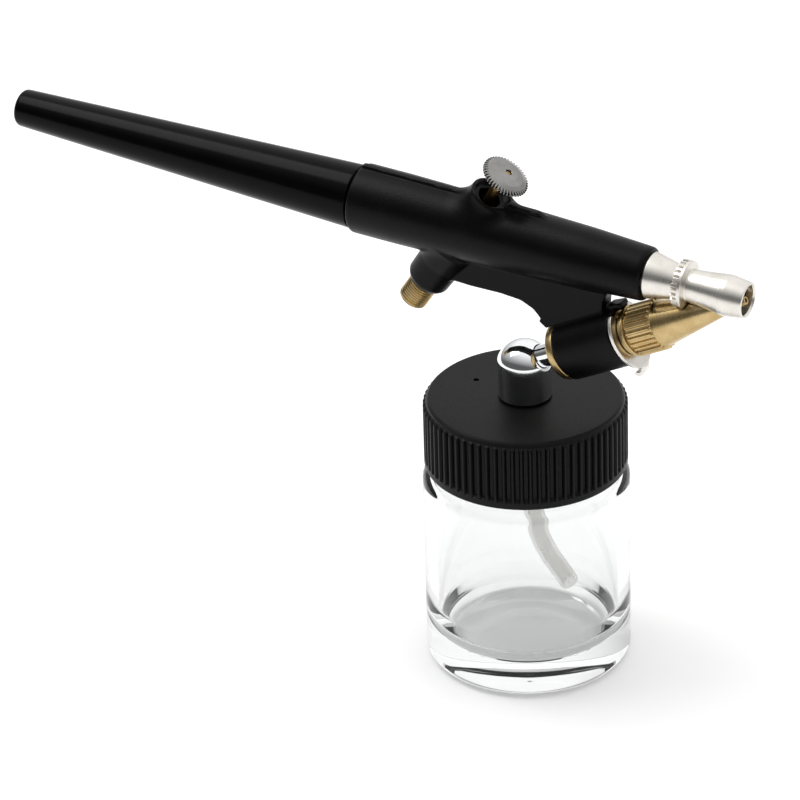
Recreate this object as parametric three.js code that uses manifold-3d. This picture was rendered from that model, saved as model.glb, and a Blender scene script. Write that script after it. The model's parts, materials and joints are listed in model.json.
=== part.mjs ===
// Single-action, external-mix airbrush with a siphon-feed glass bottle.
// Millimetres, +Z up. The origin is the centre of the bottle's base, +X points to the nozzle,
// and the whole gun lies in the XZ plane.
//
// Four axes carry the pieces. Each is a point in the XZ plane and a lean from vertical toward +X:
//   bottle   vertical, through the origin
//   barrel   from the handle to the nozzle
//   valve    through the trigger button and the air inlet
//   head     through the bottle's stem, the fluid tube and the paint tip
// A piece is drawn along its own axis (local Z) and turned about it.

import * as THREE from "three";
import { mergeVertices } from "three/addons/utils/BufferGeometryUtils.js";
import Module from "manifold-3d";

const wasm = await Module();
wasm.setup();

// ---------------------------------------------------------------- driving dimensions

const GAP = 0.3;                      // clearance between neighbouring pieces
const ROUND = 28;                     // sides of the large turned pieces
const SMALL_ROUND = 16;               // sides of the small turned pieces

const BARREL = { x: 0, z: 78.23, lean: 92.28 };
const VALVE = { x: -10.2, z: 78.6, lean: 34.06 };
const HEAD = { x: 39.4, z: 76.14, lean: 62.5 };
const BOTTLE = { x: 0, z: 0, lean: 0 };

// barrel stations, along the barrel from the point above the bottle
const HANDLE_END = -97;
const BODY_REAR = -30.2;
const BODY_FRONT = 23.2;
const COLLAR_REAR = 28.6;
const COLLAR_KNURL_END = 29.7;
const COLLAR_FRONT = 30.3;
const NOZZLE_OPENING = 40.8;
const BODY_REAR_RADIUS = 5.95;
const BODY_FRONT_RADIUS = 4.5;
const SOCKET_DEPTH = 9.5;

// valve stations, along the valve from the barrel's axis
const INLET_END = -19.3;
const INLET_SHOULDER = -14.4;
const VALVE_SEAT = -9;
const BOSS_TOP = 8.4;
const BOSS_RADIUS = 3.6;
const BUTTON_UNDERSIDE = 12.6;
const BUTTON_TOP = 14.15;
const BUTTON_RADIUS = 4.15;
const INLET_THREAD_RADIUS = 2.5;
const INLET_THREAD_PITCH = 0.5;

// head stations, along the head from just behind the tip of the cone, negative toward the bottle
const CONE_END = 1;
const CONE_BASE = -15.6;
const KNURL_REAR = -20.6;
const TIP_REAR = -21.2;
const COLLAR_END = -21.4;
const CLIP_FRONT = -22.3;
const CLIP_REAR = -22.9;
const SLEEVE_FRONT = -23.05;
const SLEEVE_REAR = -34.7;
const FLANGE_REAR = -36.3;
const STEM_REAR = -43;
const STEM_FRONT = -29.2;
const CONE_BASE_RADIUS = 3.9;
const KNURL_RADIUS = 4.35;
const CONE_TIP_RADIUS = 0.65;
const SLEEVE_RADIUS = 5.3;
const SLEEVE_BORE = 4.2;
const STEM_RADIUS = 1.95;
const SPOT_FACE = -40.8;

// bottle
const JAR_RADIUS = 17.5;
const JAR_SHOULDER = 36.3;
const JAR_RIM = 46.6;
const NECK_RADIUS = 14.75;
const NECK_BORE = 12.6;
const CAP_RADIUS = 17.15;
const CAP_BOTTOM = 36.9;
const CAP_TOP = 49.2;
const CAP_RIBS = 72;
const DOME_RADIUS = 4.52;
const DOME_TOP = 59.5;

// ---------------------------------------------------------------- materials

function finish(color, roughness, metalness = 0) {
  return () => new THREE.MeshStandardMaterial({ color, roughness, metalness });
}

const satinBlack = finish(0x161616, 0.5);
const glossBlack = finish(0x060606, 0.12);
const brass = finish(0xb08d3e, 0.3, 1);
const nickel = finish(0xcfcac2, 0.25, 1);
const chrome = finish(0xe4e6e8, 0.08, 1);
const steel = finish(0xb5b8ba, 0.3, 1);
const rubber = finish(0x1a1a1a, 0.8);
const whitePlastic = finish(0xf2f2ee, 0.4);

function clearGlass() {
  return new THREE.MeshStandardMaterial({
    color: 0xf4fbfa,
    roughness: 0.02,
    transparent: true,
    opacity: 0.35,
  });
}

// ---------------------------------------------------------------- solids

function toSolid(geometry) {
  const plain = geometry.clone();
  plain.deleteAttribute("normal");
  plain.deleteAttribute("uv");
  const merged = mergeVertices(plain, 1e-4);
  const index = merged.index.array;
  const triangles = [];
  for (let i = 0; i < index.length; i += 3) {
    const [a, b, c] = [index[i], index[i + 1], index[i + 2]];
    if (a !== b && b !== c && c !== a) {
      triangles.push(a, b, c);
    }
  }
  const mesh = new wasm.Mesh({
    numProp: 3,
    vertProperties: new Float32Array(merged.attributes.position.array),
    triVerts: new Uint32Array(triangles),
  });
  return new wasm.Manifold(mesh);
}

function toGeometry(solid) {
  const mesh = solid.getMesh();
  const geometry = new THREE.BufferGeometry();
  geometry.setAttribute("position", new THREE.BufferAttribute(new Float32Array(mesh.vertProperties), 3));
  geometry.setIndex(new THREE.BufferAttribute(new Uint32Array(mesh.triVerts), 1));
  geometry.computeVertexNormals();
  return geometry;
}

function axisMatrix(axis) {
  const turn = new THREE.Matrix4().makeRotationY(THREE.MathUtils.degToRad(axis.lean));
  const move = new THREE.Matrix4().makeTranslation(axis.x, 0, axis.z);
  return move.multiply(turn);
}

// the same geometry given along one axis, as seen from another axis or from the part's own frame
function seenFrom(geometry, axis, viewer) {
  const matrix = axisMatrix(axis);
  if (viewer) {
    matrix.premultiply(axisMatrix(viewer).invert());
  }
  return geometry.clone().applyMatrix4(matrix);
}

// profile points are [radius, station], anticlockwise: outward, up the outside, back to the axis
function turned(profile, sides = SMALL_ROUND) {
  const points = profile.map(([radius, station]) => new THREE.Vector2(radius, station));
  return new THREE.LatheGeometry(points, sides).rotateX(Math.PI / 2);
}

function turnedRing(profile, sides = SMALL_ROUND) {
  return turned([...profile, profile[0]], sides);
}

function rod(radius, from, to, sides = SMALL_ROUND) {
  return turned([[0, from], [radius, from], [radius, to], [0, to]], sides);
}

function pipe(outer, inner, from, to, sides = SMALL_ROUND) {
  return turnedRing([[inner, from], [outer, from], [outer, to], [inner, to]], sides);
}

function arc(radius, station, size, fromDegrees, toDegrees, steps) {
  const points = [];
  for (let i = 0; i <= steps; i += 1) {
    const angle = THREE.MathUtils.degToRad(fromDegrees + ((toDegrees - fromDegrees) * i) / steps);
    points.push([radius + size * Math.cos(angle), station + size * Math.sin(angle)]);
  }
  return points;
}

function extruded(shape, from, to) {
  const options = { depth: to - from, bevelEnabled: false, curveSegments: 8 };
  return new THREE.ExtrudeGeometry(shape, options).translate(0, 0, from);
}

function swept(shape, path, steps) {
  return new THREE.ExtrudeGeometry(shape, { extrudePath: path, steps, bevelEnabled: false });
}

function circleShape(radius, sides, hole = 0) {
  const shape = new THREE.Shape();
  shape.setFromPoints(circlePoints(radius, sides));
  if (hole > 0) {
    shape.holes.push(new THREE.Path().setFromPoints(circlePoints(hole, sides)));
  }
  return shape;
}

function circlePoints(radius, sides) {
  const points = [];
  for (let i = 0; i < sides; i += 1) {
    const angle = (2 * Math.PI * i) / sides;
    points.push(new THREE.Vector2(radius * Math.cos(angle), radius * Math.sin(angle)));
  }
  return points;
}

// a ring of straight teeth: each tooth has a flat land and a flat root, or a point where land is 0
function toothed(outer, root, teeth, from, to, land = 0.5) {
  const points = [];
  const step = (2 * Math.PI) / teeth;
  const pointed = [[root, 0], [outer, 0.5]];
  const flat = [[root, 0], [outer, 0.12], [outer, 0.12 + land], [root, 0.24 + land]];
  const corners = land > 0 ? flat : pointed;
  for (let i = 0; i < teeth; i += 1) {
    for (const [radius, share] of corners) {
      const angle = (i + share) * step;
      points.push(new THREE.Vector2(radius * Math.cos(angle), radius * Math.sin(angle)));
    }
  }
  return extruded(new THREE.Shape(points), from, to);
}

// a flat plate in the XZ plane, given as [x, z] corners and centred on y = 0
function plate(corners, thickness) {
  const shape = new THREE.Shape(corners.map(([x, z]) => new THREE.Vector2(x, z)));
  const flat = extruded(shape, -thickness / 2, thickness / 2);
  return flat.rotateX(Math.PI / 2);
}

function union(...solids) {
  return solids.reduce((whole, next) => whole.add(next));
}

function cut(solid, ...tools) {
  return tools.reduce((whole, tool) => whole.subtract(tool), solid);
}

// ---------------------------------------------------------------- assembly

const airbrush = new THREE.Group();
const onAxis = new Map();

for (const axis of [BARREL, VALVE, HEAD, BOTTLE]) {
  const group = new THREE.Group();
  group.position.set(axis.x, 0, axis.z);
  group.rotation.y = THREE.MathUtils.degToRad(axis.lean);
  airbrush.add(group);
  onAxis.set(axis, group);
}

function addPiece(name, shape, material, axis = BOTTLE) {
  const solid = shape.isBufferGeometry ? toSolid(shape) : shape;
  const mesh = new THREE.Mesh(toGeometry(solid), material());
  mesh.name = name;
  onAxis.get(axis).add(mesh);
}

// ---------------------------------------------------------------- gun body

// the moulded body: barrel, valve boss, inlet boss, web and the sleeve that holds the fluid head
function bodyShell() {
  const inPart = (geometry, axis) => toSolid(seenFrom(geometry, axis));

  const edge = 0.6;
  const barrel = turned([
    [0, BODY_REAR],
    ...arc(BODY_REAR_RADIUS - edge, BODY_REAR + edge, edge, -90, 0, 3),
    [BODY_REAR_RADIUS, -22],
    [5.75, -10],
    [5.1, 12],
    ...arc(BODY_FRONT_RADIUS - edge, BODY_FRONT - edge, edge, 0, 90, 3),
    [0, BODY_FRONT],
  ], ROUND);

  // a low narrow rib runs along the top of the barrel, on both sides of the valve boss;
  // local x points down on the barrel's axis
  const ribOutline = new THREE.Shape([
    new THREE.Vector2(BODY_REAR + 0.3, 0),
    new THREE.Vector2(BODY_REAR + 0.3, 6.45),
    new THREE.Vector2(-12, 6.35),
    new THREE.Vector2(2.8, 6.1),
    new THREE.Vector2(4.4, 5.2),
    new THREE.Vector2(4.4, 0),
  ]);
  const rib = extruded(ribOutline, -0.65, 0.65).rotateX(Math.PI / 2).rotateY(-Math.PI / 2);

  // the boss flares into the barrel
  const boss = turned([
    [0, 0],
    [4.8, 4.2],
    ...arc(BOSS_RADIUS + 2, 6.9, 2, 240, 180, 3),
    ...arc(BOSS_RADIUS - edge, BOSS_TOP - edge, edge, 0, 90, 2),
    [0, BOSS_TOP],
  ], ROUND);
  const inletBoss = turned([
    [0, INLET_SHOULDER],
    [3.05, INLET_SHOULDER],
    [3.7, INLET_SHOULDER + 1],
    [3.85, -9],
    [4.6, -4.5],
    [0, -3],
  ], ROUND);

  const sleeve = rod(SLEEVE_RADIUS, SLEEVE_REAR, SLEEVE_FRONT, ROUND);

  // a key on the sleeve's front end stands in the open side of the spring clip;
  // local x points down on the head's axis
  const keyLength = 2.4;
  const keyHeight = 1;
  const key = new THREE.BoxGeometry(keyHeight, 2.6, keyLength)
    .translate(-(KNURL_RADIUS + 0.25 + keyHeight / 2), 0, SLEEVE_FRONT - 0.2 + keyLength / 2);

  const web = plate([
    [-16, 74],
    [-13.2, 68.8],
    [-9, 68.5],
    [-3.4, 68.4],
    [0.3, 68.0],
    [2.6, 66.9],
    [4.0, 65.4],
    [3.6, 64.9],
    [4.9, 63.9],
    [9, 62],
    [15.2, 67],
    [15.4, 71],
    [16.8, 74.6],
    [10, 77],
  ], 3.6);

  const whole = union(
    inPart(barrel, BARREL),
    inPart(rib, BARREL),
    inPart(boss, VALVE),
    inPart(inletBoss, VALVE),
    inPart(sleeve, HEAD),
    inPart(key, HEAD),
    toSolid(web),
  );

  const handleSocket = rod(4.3, BODY_REAR - 1, BODY_REAR + SOCKET_DEPTH + 0.5, ROUND);
  const nozzleSocket = turned([
    [0, -12],
    [1.5, -12],
    [1.5, 15.2],
    [3.3, 15.2],
    [3.3, BODY_FRONT + 1],
    [0, BODY_FRONT + 1],
  ]);
  const valveBore = turned([
    [0, INLET_SHOULDER - 1],
    [2.8, INLET_SHOULDER - 1],
    [2.8, -11.2],
    [1.9, -11.2],
    [1.9, VALVE_SEAT],
    [1.25, VALVE_SEAT],
    [1.25, 1.5],
    [2, 1.5],
    [2, 7.5],
    [2.6, 7.5],
    [3.1, BOSS_TOP + 0.1],
    [0, BOSS_TOP + 0.1],
  ]);
  const headBore = turned([
    [0, FLANGE_REAR - 1],
    [SLEEVE_RADIUS, FLANGE_REAR - 1],
    [SLEEVE_RADIUS, SLEEVE_REAR],
    [SLEEVE_BORE, SLEEVE_REAR],
    [SLEEVE_BORE, SLEEVE_FRONT + 4],
    [0, SLEEVE_FRONT + 4],
  ], ROUND);

  return cut(
    whole,
    inPart(handleSocket, BARREL),
    inPart(nozzleSocket, BARREL),
    inPart(valveBore, VALVE),
    inPart(headBore, HEAD),
  );
}

addPiece("body_shell", bodyShell(), satinBlack);

// the hollow handle plugs into the back of the body
addPiece("handle", turned([
  [0, HANDLE_END],
  ...arc(3.25 - 0.9, HANDLE_END + 0.9, 0.9, -90, 0, 4),
  [5.44, BODY_REAR - GAP - 0.4],
  [5.1, BODY_REAR - GAP],
  [4, BODY_REAR - GAP],
  [4, BODY_REAR + SOCKET_DEPTH - 0.6],
  [3.6, BODY_REAR + SOCKET_DEPTH],
  [2.6, BODY_REAR + SOCKET_DEPTH],
  [2.6, -60],
  [1.2, -84],
  [0, -85],
], ROUND), glossBlack, BARREL);

// ---------------------------------------------------------------- air valve and trigger

function threadProfile(outer, root, from, to, pitch) {
  const points = [];
  for (let station = from; station < to - pitch / 2; station += pitch) {
    points.push([root, station]);
    points.push([outer, station + pitch / 2]);
  }
  points.push([root, to]);
  return points;
}

addPiece("air_inlet_fitting", turnedRing([
  [1.1, INLET_END],
  [1.9, INLET_END],
  ...threadProfile(INLET_THREAD_RADIUS, 2.15, INLET_END + 0.3, INLET_SHOULDER, INLET_THREAD_PITCH),
  [2.5, INLET_SHOULDER + 0.05],
  [2.5, -11.5],
  [1.75, -11.5],
  [1.75, -16.9],
  [1.1, -16.9],
], SMALL_ROUND), brass, VALVE);

class Helix extends THREE.Curve {
  constructor(radius, from, to, turns) {
    super();
    Object.assign(this, { radius, from, to, turns });
  }

  getPoint(t, target = new THREE.Vector3()) {
    const angle = 2 * Math.PI * this.turns * t;
    const station = this.from + (this.to - this.from) * t;
    return target.set(this.radius * Math.cos(angle), this.radius * Math.sin(angle), station);
  }
}

addPiece("valve_spring", swept(circleShape(0.17, 5), new Helix(1.25, -16.5, -11.7, 4.5), 45), steel, VALVE);

addPiece("valve_plunger", turned([
  [0, -11.3],
  [1.35, -11.3],
  [1.35, -10.4],
  [0.75, -10.4],
  [0.75, -8.9],
  [0, -8.9],
]), brass, VALVE);

addPiece("plunger_seal", pipe(1.6, 0.95, -10.2, VALVE_SEAT - 0.15), rubber, VALVE);

addPiece("valve_stem", turned([
  [0, -8.7],
  [0.6, -8.7],
  [0.6, 5.2],
  [0.85, 5.4],
  [0.85, BUTTON_TOP - 1.3],
  [0.4, BUTTON_TOP - 1.1],
  [0.4, BUTTON_TOP - 0.25],
  [0, BUTTON_TOP - 0.25],
]), brass, VALVE);

addPiece("stem_seal", pipe(1.75, 0.8, 1.8, 2.9), rubber, VALVE);

function valveGuide() {
  const top = 5;
  const bush = toSolid(pipe(1.85, 1.05, 3.1, top));
  const slot = new THREE.BoxGeometry(5, 0.6, 1.2).translate(0, 0, top);
  return cut(bush, toSolid(slot));
}

addPiece("valve_guide", valveGuide(), brass, VALVE);

// the button is a low dome with a serrated rim, seated on the top of the stem
function triggerButton() {
  const rimTop = BUTTON_UNDERSIDE + 0.45;
  const dome = turnedRing([
    [1.05, BUTTON_UNDERSIDE],
    [BUTTON_RADIUS - 0.25, BUTTON_UNDERSIDE],
    [BUTTON_RADIUS - 0.25, rimTop],
    [3.4, rimTop + 0.35],
    [2.4, rimTop + 0.75],
    [1.4, rimTop + 1],
    [0.6, BUTTON_TOP],
    [0.6, BUTTON_TOP - 0.9],
    [1.05, BUTTON_TOP - 1],
  ]);
  const rim = cut(
    toSolid(toothed(BUTTON_RADIUS, BUTTON_RADIUS - 0.35, 44, BUTTON_UNDERSIDE, rimTop, 0)),
    toSolid(rod(3.2, BUTTON_UNDERSIDE - 1, rimTop + 1)),
  );
  return union(toSolid(dome), rim);
}

addPiece("trigger_button", triggerButton(), chrome, VALVE);

// ---------------------------------------------------------------- air passage and nozzle

addPiece("air_tube", pipe(1.2, 0.7, -7.2, 15), brass, BARREL);

addPiece("nozzle_base", turnedRing([
  [1.2, 15.6],
  [3, 15.6],
  [3, BODY_FRONT + GAP],
  [3.95, BODY_FRONT + GAP],
  [2.85, COLLAR_REAR - GAP],
  [1.9, COLLAR_REAR - GAP],
  [1.9, COLLAR_REAR + 1.3],
  [1.2, COLLAR_REAR + 1.3],
], ROUND), nickel, BARREL);

// a cone that clears the paint tip through its travel, used to open the nozzle's underside
function tipClearance(clearance) {
  const overrun = 1;
  const slope = (CONE_BASE_RADIUS - CONE_TIP_RADIUS) / (CONE_END - CONE_BASE);
  return turned([
    [0, CONE_BASE],
    [CONE_BASE_RADIUS + clearance, CONE_BASE],
    [CONE_TIP_RADIUS - slope * overrun + clearance, CONE_END + overrun],
    [0, CONE_END + overrun],
  ]);
}

// the knurled collar has a smooth rim in front, then a waist, a swell and a taper to the mouth
function airCap() {
  const shell = toSolid(turnedRing([
    [2.15, COLLAR_REAR + 0.3],
    [3.6, COLLAR_REAR + 0.3],
    [3.6, COLLAR_KNURL_END],
    [4, COLLAR_KNURL_END + 0.05],
    [4, COLLAR_FRONT - 0.15],
    [3.8, COLLAR_FRONT],
    [2.75, COLLAR_FRONT + 0.3],
    [3.05, 33.8],
    [3.42, 36.6],
    [3.45, 37.4],
    [3.3, 38.3],
    [3.02, NOZZLE_OPENING],
    [2.6, NOZZLE_OPENING],
    [2.5, NOZZLE_OPENING - 0.4],
    [2.5, 34.2],
    [1.7, 32.7],
    [1.7, COLLAR_FRONT - 0.1],
    [2.15, COLLAR_FRONT - 0.1],
  ], ROUND));
  const knurl = cut(
    toSolid(toothed(4, 3.65, 26, COLLAR_REAR, COLLAR_KNURL_END + 0.02)),
    toSolid(rod(3, COLLAR_REAR - 1, COLLAR_FRONT)),
  );
  const opening = toSolid(seenFrom(tipClearance(0.4), HEAD, BARREL));
  return cut(union(shell, knurl), opening);
}

addPiece("air_cap", airCap(), nickel, BARREL);

addPiece("air_jet", turnedRing([
  [0.45, COLLAR_FRONT + 0.3],
  [1.4, COLLAR_FRONT + 0.3],
  [1.4, COLLAR_FRONT + 1.5],
  [0.85, COLLAR_FRONT + 2.5],
  [0.45, COLLAR_FRONT + 2.5],
]), brass, BARREL);

// ---------------------------------------------------------------- fluid head

addPiece("fluid_tube", turnedRing([
  [2.15, FLANGE_REAR],
  [4.8, FLANGE_REAR],
  [5, FLANGE_REAR + 0.2],
  [5, SLEEVE_REAR - 0.4],
  [4.8, SLEEVE_REAR - 0.2],
  [3.9, SLEEVE_REAR - 0.2],
  [3.9, CLIP_REAR - 0.15],
  [3.2, CLIP_REAR - 0.15],
  [3.2, CLIP_FRONT + 0.15],
  [3.9, CLIP_FRONT + 0.15],
  [3.9, COLLAR_END],
  [2.3, COLLAR_END],
  [2.3, -15.5],
  [1.2, -15.5],
  [1.2, -28.6],
  [2.15, -28.6],
], ROUND), brass, HEAD);

addPiece("fluid_needle", turned([
  [0, -27],
  [0.9, -27],
  [0.9, -24.5],
  [0.45, -24],
  [0.45, -2.5],
  [0.12, CONE_END - 0.2],
  [0, CONE_END - 0.2],
]), steel, HEAD);

addPiece("tip_packing", pipe(2.9, 2.5, -21, -20.1), whitePlastic, HEAD);

// the paint tip: a knurled grip and a long cone with the paint orifice at its point
function fluidTip() {
  const cone = toSolid(turnedRing([
    [3.15, TIP_REAR],
    [KNURL_RADIUS, TIP_REAR],
    [KNURL_RADIUS, TIP_REAR + 0.35],
    [3.9, KNURL_REAR],
    [CONE_BASE_RADIUS, CONE_BASE],
    [CONE_TIP_RADIUS, CONE_END],
    [0.35, CONE_END],
    [0.55, -1.5],
    [2.6, -13.5],
    [2.6, -19.9],
    [3.15, -19.9],
  ], ROUND));
  const grip = cut(
    toSolid(toothed(KNURL_RADIUS, KNURL_RADIUS - 0.4, 26, KNURL_REAR, CONE_BASE)),
    toSolid(rod(3.4, KNURL_REAR - 1, CONE_BASE + 1)),
  );
  return union(cone, grip);
}

addPiece("fluid_tip", fluidTip(), brass, HEAD);

// an open spring ring in the tube's groove, with a finger tab at the bottom that curls back
// under the sleeve; local x points down on the head's axis
function springClip() {
  const inner = 3.5;
  const openingDegrees = 64;
  const shape = new THREE.Shape();
  const start = THREE.MathUtils.degToRad(180 + openingDegrees / 2);
  const end = THREE.MathUtils.degToRad(540 - openingDegrees / 2);
  shape.absarc(0, 0, SLEEVE_RADIUS, start, end, false);
  shape.absarc(0, 0, inner, end, start, true);
  const thickness = CLIP_FRONT - CLIP_REAR;
  const options = { depth: thickness, bevelEnabled: false, curveSegments: 28 };
  const ring = new THREE.ExtrudeGeometry(shape, options).translate(0, 0, CLIP_REAR);

  const curlRadius = 1.2;
  const drop = SLEEVE_RADIUS + 0.95;
  const curlStation = CLIP_FRONT - curlRadius;
  const curl = new THREE.Shape();
  curl.moveTo(SLEEVE_RADIUS - 0.5, CLIP_FRONT);
  curl.absarc(drop, curlStation, curlRadius, Math.PI / 2, -Math.PI / 3, true);
  curl.absarc(drop, curlStation, curlRadius - thickness, -Math.PI / 3, Math.PI / 2, false);
  curl.lineTo(SLEEVE_RADIUS - 0.5, CLIP_REAR);
  const tabWidth = 2;
  const tab = extruded(curl, -tabWidth / 2, tabWidth / 2).rotateX(Math.PI / 2);
  return union(toSolid(ring), toSolid(tab));
}

addPiece("spring_clip", springClip(), nickel, HEAD);

// ---------------------------------------------------------------- bottle

addPiece("adaptor_stem", pipe(STEM_RADIUS, 0.9, STEM_REAR, STEM_FRONT), chrome, HEAD);

// the domed adaptor is bored up the middle and across for the stem
function bottleAdaptor() {
  const stepHeight = CAP_TOP + GAP;
  const whole = toSolid(turned([
    [0, 43.4],
    [2.8, 43.4],
    [2.8, stepHeight],
    [DOME_RADIUS, stepHeight],
    [DOME_RADIUS, 56],
    ...arc(0, DOME_TOP - 4.75, 4.75, 17, 90, 7),
  ], ROUND));
  const tubeBore = toSolid(rod(2.05, 42, 46.6));
  const paintBore = toSolid(rod(1, 46, 55));
  const stemBore = toSolid(seenFrom(rod(STEM_RADIUS + 0.15, STEM_REAR - GAP, -34), HEAD));
  const spotFace = toSolid(seenFrom(rod(2.6, SPOT_FACE, -34), HEAD));
  return cut(whole, tubeBore, paintBore, stemBore, spotFace);
}

addPiece("bottle_adaptor", bottleAdaptor(), chrome);

addPiece("adaptor_washer", pipe(5, 3.1, 46.9, 47.6), rubber);

function adaptorNut() {
  const hexagon = circleShape(5.1, 6);
  const bore = toSolid(rod(3.1, 43, 48));
  return cut(toSolid(extruded(hexagon, 44, 46.6)), bore);
}

addPiece("adaptor_nut", adaptorNut(), brass);

// the siphon tube hangs from the adaptor and bends toward the edge of the bottle's floor
const siphonPath = new THREE.CatmullRomCurve3([
  new THREE.Vector3(0, 0, 46.2),
  new THREE.Vector3(0, 0, 40),
  new THREE.Vector3(0.2, 0.4, 30),
  new THREE.Vector3(1.8, 2.4, 20),
  new THREE.Vector3(5.1, 5.6, 11.3),
]);
addPiece("siphon_tube", swept(circleShape(1.7, 10, 1), siphonPath, 22), whitePlastic);

// the screw cap: ribbed skirt, plain foot and a small vent hole
function jarCap() {
  const skirtRoot = CAP_RADIUS - 0.5;
  const shell = toSolid(turnedRing([
    [16.45, CAP_BOTTOM],
    [CAP_RADIUS, CAP_BOTTOM],
    [CAP_RADIUS, CAP_BOTTOM + 1.5],
    [skirtRoot, CAP_BOTTOM + 1.7],
    [skirtRoot, CAP_TOP - 0.5],
    [skirtRoot - 0.4, CAP_TOP],
    [3.1, CAP_TOP],
    [3.1, CAP_TOP - 1.4],
    [16, CAP_TOP - 1.4],
    [16, CAP_BOTTOM + 1.5],
  ], 36));
  const ribs = cut(
    toSolid(toothed(CAP_RADIUS, CAP_RADIUS - 0.6, CAP_RIBS, CAP_BOTTOM + 1, CAP_TOP - 1, 0.3)),
    toSolid(rod(CAP_RADIUS - 0.9, CAP_BOTTOM, CAP_TOP, 36)),
  );
  const ventRadius = 0.5;
  const vent = toSolid(rod(ventRadius, CAP_TOP - 3, CAP_TOP + 1, 12).translate(-9.7, 0.9, 0));
  return cut(union(shell, ribs), vent);
}

addPiece("jar_cap", jarCap(), satinBlack);

addPiece("cap_liner", pipe(14.6, 11.4, JAR_RIM + 0.2, CAP_TOP - 1.7, ROUND), whitePlastic);

// the glass bottle: thick floor, straight wall, shoulder and a threaded neck
addPiece("glass_jar", turned([
  [0, 0],
  [16, 0],
  ...arc(16, 1.5, 1.5, -60, 0, 3),
  [JAR_RADIUS, 34.2],
  ...arc(JAR_RADIUS - 1.9, 34.2, 1.9, 20, 80, 3),
  [NECK_RADIUS, JAR_SHOULDER],
  [NECK_RADIUS, JAR_RIM - 0.6],
  [NECK_RADIUS - 0.5, JAR_RIM],
  [NECK_BORE + 0.3, JAR_RIM],
  [NECK_BORE, JAR_RIM - 0.4],
  [NECK_BORE, 36.5],
  [15.3, 33.6],
  ...arc(10.8, 9, 4.5, 0, -75, 5),
  [8, 4.2],
  [0, 4],
], ROUND), clearGlass);

export default airbrush;
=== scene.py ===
"""Looks of a siphon-feed airbrush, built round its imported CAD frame.

Lengths are in millimetres inside the makers below and become metres where a mesh is made.
Turned pieces are drawn as profiles of (radius, station) along one of four axes of the gun:
the barrel (toward the nozzle), the valve (up through the button), the fluid head (toward the
paint tip's point) and the bottle (straight up).
"""
import json
import math

import bmesh
import bpy
import numpy as np
from mathutils import Matrix, Vector


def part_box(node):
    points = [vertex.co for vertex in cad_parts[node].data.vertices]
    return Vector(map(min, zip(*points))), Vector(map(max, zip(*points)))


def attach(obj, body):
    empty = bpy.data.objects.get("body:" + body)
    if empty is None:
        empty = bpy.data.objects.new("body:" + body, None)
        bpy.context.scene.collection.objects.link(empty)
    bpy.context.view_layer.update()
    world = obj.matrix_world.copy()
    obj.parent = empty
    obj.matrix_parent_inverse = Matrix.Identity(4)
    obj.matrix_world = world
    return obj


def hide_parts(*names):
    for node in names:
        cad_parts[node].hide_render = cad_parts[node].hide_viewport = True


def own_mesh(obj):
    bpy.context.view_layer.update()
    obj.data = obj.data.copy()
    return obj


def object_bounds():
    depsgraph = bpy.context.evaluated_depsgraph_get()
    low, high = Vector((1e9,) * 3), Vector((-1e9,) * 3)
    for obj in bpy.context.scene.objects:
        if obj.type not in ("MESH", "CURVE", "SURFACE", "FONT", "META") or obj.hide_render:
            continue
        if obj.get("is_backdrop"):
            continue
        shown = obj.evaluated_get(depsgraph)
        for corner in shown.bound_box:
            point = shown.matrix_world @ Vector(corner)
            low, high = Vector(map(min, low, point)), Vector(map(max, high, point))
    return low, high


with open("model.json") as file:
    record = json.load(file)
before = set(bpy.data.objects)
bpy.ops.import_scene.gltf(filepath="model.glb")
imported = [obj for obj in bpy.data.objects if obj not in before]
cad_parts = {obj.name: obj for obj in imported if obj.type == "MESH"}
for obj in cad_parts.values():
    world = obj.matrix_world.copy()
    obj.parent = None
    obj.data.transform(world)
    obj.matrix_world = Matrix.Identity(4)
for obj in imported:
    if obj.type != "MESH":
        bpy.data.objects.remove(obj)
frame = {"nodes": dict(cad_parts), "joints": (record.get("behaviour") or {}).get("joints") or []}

MM = 0.001
SMOOTH_DEGREES = 35      # edges sharper than this stay sharp
CAD_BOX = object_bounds()
JOINTS = {joint["name"]: joint for joint in frame["joints"]}


# ---------------------------------------------------------------- axes

class Axis:
    """A line through the gun. Stations run along it in millimetres from its origin."""

    def __init__(self, origin, direction):
        along = Vector(direction).normalized()
        across = Vector((0, 1, 0))
        down = across.cross(along)
        turn = Matrix((down, across, along)).transposed()
        self.matrix = Matrix.Translation(origin) @ turn.to_4x4()
        self.origin = np.array(origin) / MM
        self.turn = np.array(turn)

    def local(self, points):
        return (points - self.origin) @ self.turn

    def _cad(self, node):
        mesh = frame["nodes"][node].data
        points = np.array([vertex.co for vertex in mesh.vertices]) / MM
        return self.local(points)

    def span(self, node):
        """Lowest and highest station of a CAD node."""
        stations = self._cad(node)[:, 2]
        return stations.min(), stations.max()

    def reach(self, node):
        """Largest radius of a CAD node."""
        points = self._cad(node)
        return np.hypot(points[:, 0], points[:, 1]).max()


def middle(node):
    low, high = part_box(node)
    return (low + high) / 2


def crossing(point_a, direction_a, point_b, direction_b):
    """Where two lines of the gun's plane of symmetry cross."""
    rows = np.array([[direction_a.x, -direction_b.x], [direction_a.z, -direction_b.z]])
    gap = np.array([point_b.x - point_a.x, point_b.z - point_a.z])
    distance = np.linalg.solve(rows, gap)[0]
    return point_a + direction_a * distance


UP = Vector((0, 0, 1))
barrel_way = -Vector(JOINTS["handle_pull"]["axis"])
valve_way = -Vector(JOINTS["trigger_press"]["axis"])
head_way = Vector(JOINTS["tip_turn"]["axis"])

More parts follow.
